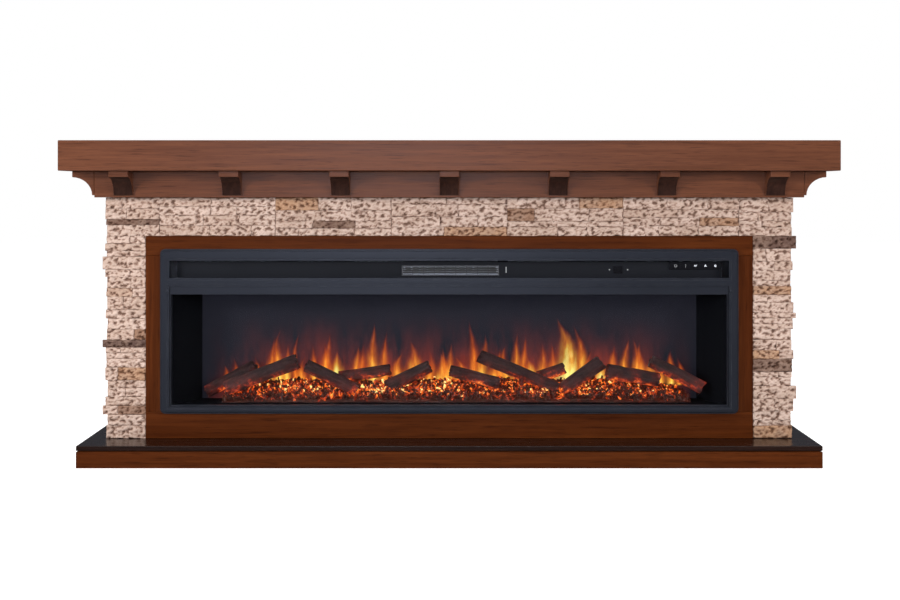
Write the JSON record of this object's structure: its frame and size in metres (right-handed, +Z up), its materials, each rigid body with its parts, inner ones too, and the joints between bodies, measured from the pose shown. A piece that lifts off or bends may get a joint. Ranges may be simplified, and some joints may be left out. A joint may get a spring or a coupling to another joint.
{
  "type": "electric fireplace",
  "caption": "Wide mantel with a thick wood shelf on corbels and ledge-stone facing around a linear electric firebox with logs and embers.",
  "frame": {"origin": "on the floor, at the middle of the bounding box", "axes": "+Z up, -Y is the front that faces the room, +X to the viewer's right"},
  "size_m": [2, 0.4, 0.838],
  "materials": {
    "walnut": "satin lacquer",
    "dark_walnut": "satin lacquer",
    "board": "raw board",
    "ledge_stone": "split face",
    "slate_steel": "satin",
    "black_steel": "matte",
    "zinc_sheet": "galvanised",
    "window_glass": "polished",
    "smoked_screen": "satin",
    "gloss_black": "gloss",
    "black_plastic": "matte",
    "embers": "translucent resin",
    "charred_log": "matte cast resin",
    "reflector": "polished foil",
    "circuit_board": "solder resist"
  },
  "bodies": {
    "mantel_and_insert": {"shelf_fascia": "walnut", "shelf_top_board": "walnut", "shelf_soffit": "walnut", "frieze": "walnut", "corbel_1": "walnut", "corbel_2": "walnut", "corbel_3": "walnut", "corbel_4": "walnut", "corbel_5": "walnut", "corbel_6": "walnut", "corbel_7": "walnut", "corbel_end_left": "walnut", "corbel_end_right": "walnut", "stone_header_1": "ledge_stone", "stone_header_2": "ledge_stone", "stone_header_3": "ledge_stone", "stone_header_4": "ledge_stone", "stone_header_5": "ledge_stone", "stone_column_left": "ledge_stone", "stone_column_right": "ledge_stone", "surround_top_rail": "dark_walnut", "surround_bottom_rail": "dark_walnut", "surround_stile_left": "dark_walnut", "surround_stile_right": "dark_walnut", "base_top": "dark_walnut", "base_plinth": "dark_walnut", "carcass": "board", "insert_deck": "board", "insert_case": "zinc_sheet", "trim_frame": "slate_steel", "window_frame": "slate_steel", "window_glass": "window_glass", "firebox_liner": "black_steel", "flame_screen": "smoked_screen", "ember_bed": "embers", "log_left": "charred_log", "log_second": "charred_log", "log_middle": "charred_log", "log_long": "charred_log", "log_right_rising": "charred_log", "log_thick": "charred_log", "log_right": "charred_log", "vent_panel": "slate_steel", "outlet_grille": "slate_steel", "display_lens": "gloss_black", "control_strip": "gloss_black", "blower_housing": "zinc_sheet", "blower_motor": "black_steel", "heating_element": "zinc_sheet", "rotor_motor": "black_plastic", "control_board": "circuit_board", "light_strip": "circuit_board", "power_gland": "black_plastic"},
    "blower_wheel_body": {"blower_wheel": "zinc_sheet"},
    "flame_rotor_body": {"flame_rotor": "reflector"},
    "button_1_body": {"button_1": "gloss_black"},
    "button_2_body": {"button_2": "gloss_black"},
    "button_3_body": {"button_3": "gloss_black"},
    "button_4_body": {"button_4": "gloss_black"},
    "button_5_body": {"button_5": "gloss_black"}
  },
  "joints": [
    {"name": "blower_wheel_spin", "type": "hinge", "parent": "mantel_and_insert", "child": "blower_wheel_body", "pos_m": [0.003, -0.0215, 0.508], "axis": [1, 0, 0], "continuous": true},
    {"name": "flame_rotor_spin", "type": "hinge", "parent": "mantel_and_insert", "child": "flame_rotor_body", "pos_m": [0, 0.03659, 0.1633], "axis": [1, 0, 0], "continuous": true},
    {"name": "button_1_press", "type": "slide", "parent": "mantel_and_insert", "child": "button_1_body", "axis": [0, 1, 0], "range_m": [0, 0.001], "stiffness_N_per_m": 300},
    {"name": "button_2_press", "type": "slide", "parent": "mantel_and_insert", "child": "button_2_body", "axis": [0, 1, 0], "range_m": [0, 0.001], "stiffness_N_per_m": 300},
    {"name": "button_3_press", "type": "slide", "parent": "mantel_and_insert", "child": "button_3_body", "axis": [0, 1, 0], "range_m": [0, 0.001], "stiffness_N_per_m": 300},
    {"name": "button_4_press", "type": "slide", "parent": "mantel_and_insert", "child": "button_4_body", "axis": [0, 1, 0], "range_m": [0, 0.001], "stiffness_N_per_m": 300},
    {"name": "button_5_press", "type": "slide", "parent": "mantel_and_insert", "child": "button_5_body", "axis": [0, 1, 0], "range_m": [0, 0.001], "stiffness_N_per_m": 300}
  ]
}
